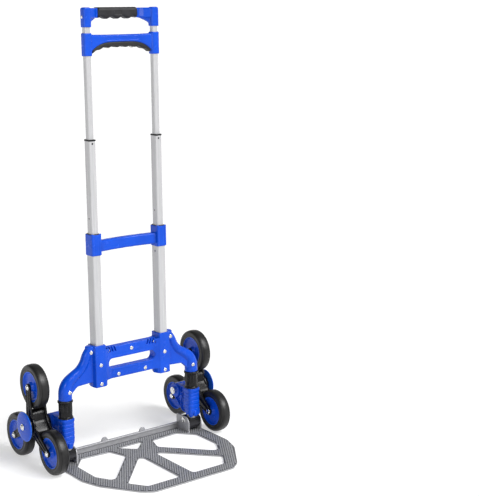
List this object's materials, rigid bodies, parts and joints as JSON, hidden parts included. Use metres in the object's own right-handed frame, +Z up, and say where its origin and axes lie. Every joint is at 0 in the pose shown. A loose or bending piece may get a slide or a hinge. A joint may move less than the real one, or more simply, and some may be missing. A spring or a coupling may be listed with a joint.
{
  "type": "stair climbing trolley",
  "caption": "Folding hand truck for stairs, with a telescopic mast, a perforated fold-up toe plate and a turning cluster of wheels on each side.",
  "frame": {"origin": "middle of the footprint, on the floor under the wheels and the toe plate", "axes": "+X to the right across the trolley, +Y to the rear (the toe plate points to -Y), +Z up along the mast"},
  "size_m": [0.512, 0.4262, 1],
  "materials": {
    "blue_plastic": "smooth moulded",
    "black_plastic": "satin moulded",
    "black_grip": "soft moulded grip",
    "tyre": "matte rubber",
    "tube_aluminium": "brushed extrusion",
    "plate_aluminium": "cast, fine cross-hatch on top",
    "bright_steel": "zinc plated",
    "post_steel": "drawn tube"
  },
  "bodies": {
    "frame": {"base_front_shell": "blue_plastic", "base_rear_shell": "blue_plastic", "base_screws": "bright_steel", "outer_tube_l": "tube_aluminium", "outer_tube_r": "tube_aluminium", "mid_clamp": "blue_plastic", "clamp_screws": "bright_steel", "clamp_bushes": "black_plastic", "post_l": "post_steel", "post_r": "post_steel", "sleeve_l": "black_plastic", "sleeve_r": "black_plastic", "bracket_l": "blue_plastic", "bracket_r": "blue_plastic", "foot_l": "black_plastic", "foot_r": "black_plastic", "hinge_pins": "bright_steel", "axle_bolt_l": "bright_steel", "axle_bolt_r": "bright_steel", "axle_nuts": "bright_steel"},
    "mid_stage": {"mid_tube_l": "tube_aluminium", "mid_tube_r": "tube_aluminium", "mid_collars": "black_plastic", "mid_plugs": "black_plastic", "mid_latch_buttons": "black_plastic"},
    "inner_stage": {"inner_tube_l": "tube_aluminium", "inner_tube_r": "tube_aluminium", "inner_plugs": "black_plastic", "inner_latch_buttons": "black_plastic", "top_handle": "blue_plastic", "top_grip": "black_grip", "top_handle_rivets": "bright_steel"},
    "release_lever": {"release_handle": "blue_plastic", "release_grip": "black_grip", "release_grip_screws": "bright_steel", "release_rods": "bright_steel", "release_pins": "bright_steel"},
    "folding_plate": {"toe_plate": "plate_aluminium"},
    "cluster_left": {"spider_l": "black_plastic", "hub_cap_l": "blue_plastic", "wheel_bolts_l": "bright_steel", "wheel_nuts_l": "bright_steel"},
    "wheel_left_top": {"tyre_l_top": "tyre", "wheel_l_top": "blue_plastic"},
    "wheel_left_front": {"tyre_l_front": "tyre", "wheel_l_front": "blue_plastic"},
    "wheel_left_rear": {"tyre_l_rear": "tyre", "wheel_l_rear": "blue_plastic"},
    "cluster_right": {"spider_r": "black_plastic", "hub_cap_r": "blue_plastic", "wheel_bolts_r": "bright_steel", "wheel_nuts_r": "bright_steel"},
    "wheel_right_top": {"tyre_r_top": "tyre", "wheel_r_top": "blue_plastic"},
    "wheel_right_front": {"tyre_r_front": "tyre", "wheel_r_front": "blue_plastic"},
    "wheel_right_rear": {"tyre_r_rear": "tyre", "wheel_r_rear": "blue_plastic"}
  },
  "joints": [
    {"name": "mid_stage_slide", "type": "slide", "parent": "frame", "child": "mid_stage", "axis": [0, 0, 1], "range_m": [-0.2, 0]},
    {"name": "inner_stage_slide", "type": "slide", "parent": "mid_stage", "child": "inner_stage", "axis": [0, 0, 1], "range_m": [-0.174, 0]},
    {"name": "release_squeeze", "type": "slide", "parent": "inner_stage", "child": "release_lever", "axis": [0, 0, 1], "range_m": [0, 0.0115], "stiffness_N_per_m": 600, "springref_m": -0.012},
    {"name": "toe_plate_hinge", "type": "hinge", "parent": "frame", "child": "folding_plate", "pos_m": [0, 0.04544, 0.0315], "axis": [-1, 0, 0], "range_deg": [0, 90]},
    {"name": "cluster_left_spin", "type": "hinge", "parent": "frame", "child": "cluster_left", "pos_m": [0, 0.08685, 0.094], "axis": [1, 0, 0], "continuous": true},
    {"name": "wheel_left_top_spin", "type": "hinge", "parent": "cluster_left", "child": "wheel_left_top", "pos_m": [0, 0.08685, 0.182], "axis": [1, 0, 0], "continuous": true},
    {"name": "wheel_left_front_spin", "type": "hinge", "parent": "cluster_left", "child": "wheel_left_front", "pos_m": [0, 0.01064, 0.05], "axis": [1, 0, 0], "continuous": true},
    {"name": "wheel_left_rear_spin", "type": "hinge", "parent": "cluster_left", "child": "wheel_left_rear", "pos_m": [0, 0.16306, 0.05], "axis": [1, 0, 0], "continuous": true},
    {"name": "cluster_right_spin", "type": "hinge", "parent": "frame", "child": "cluster_right", "pos_m": [0, 0.08685, 0.094], "axis": [1, 0, 0], "continuous": true},
    {"name": "wheel_right_top_spin", "type": "hinge", "parent": "cluster_right", "child": "wheel_right_top", "pos_m": [0, 0.08685, 0.182], "axis": [1, 0, 0], "continuous": true},
    {"name": "wheel_right_front_spin", "type": "hinge", "parent": "cluster_right", "child": "wheel_right_front", "pos_m": [0, 0.01064, 0.05], "axis": [1, 0, 0], "continuous": true},
    {"name": "wheel_right_rear_spin", "type": "hinge", "parent": "cluster_right", "child": "wheel_right_rear", "pos_m": [0, 0.16306, 0.05], "axis": [1, 0, 0], "continuous": true}
  ]
}
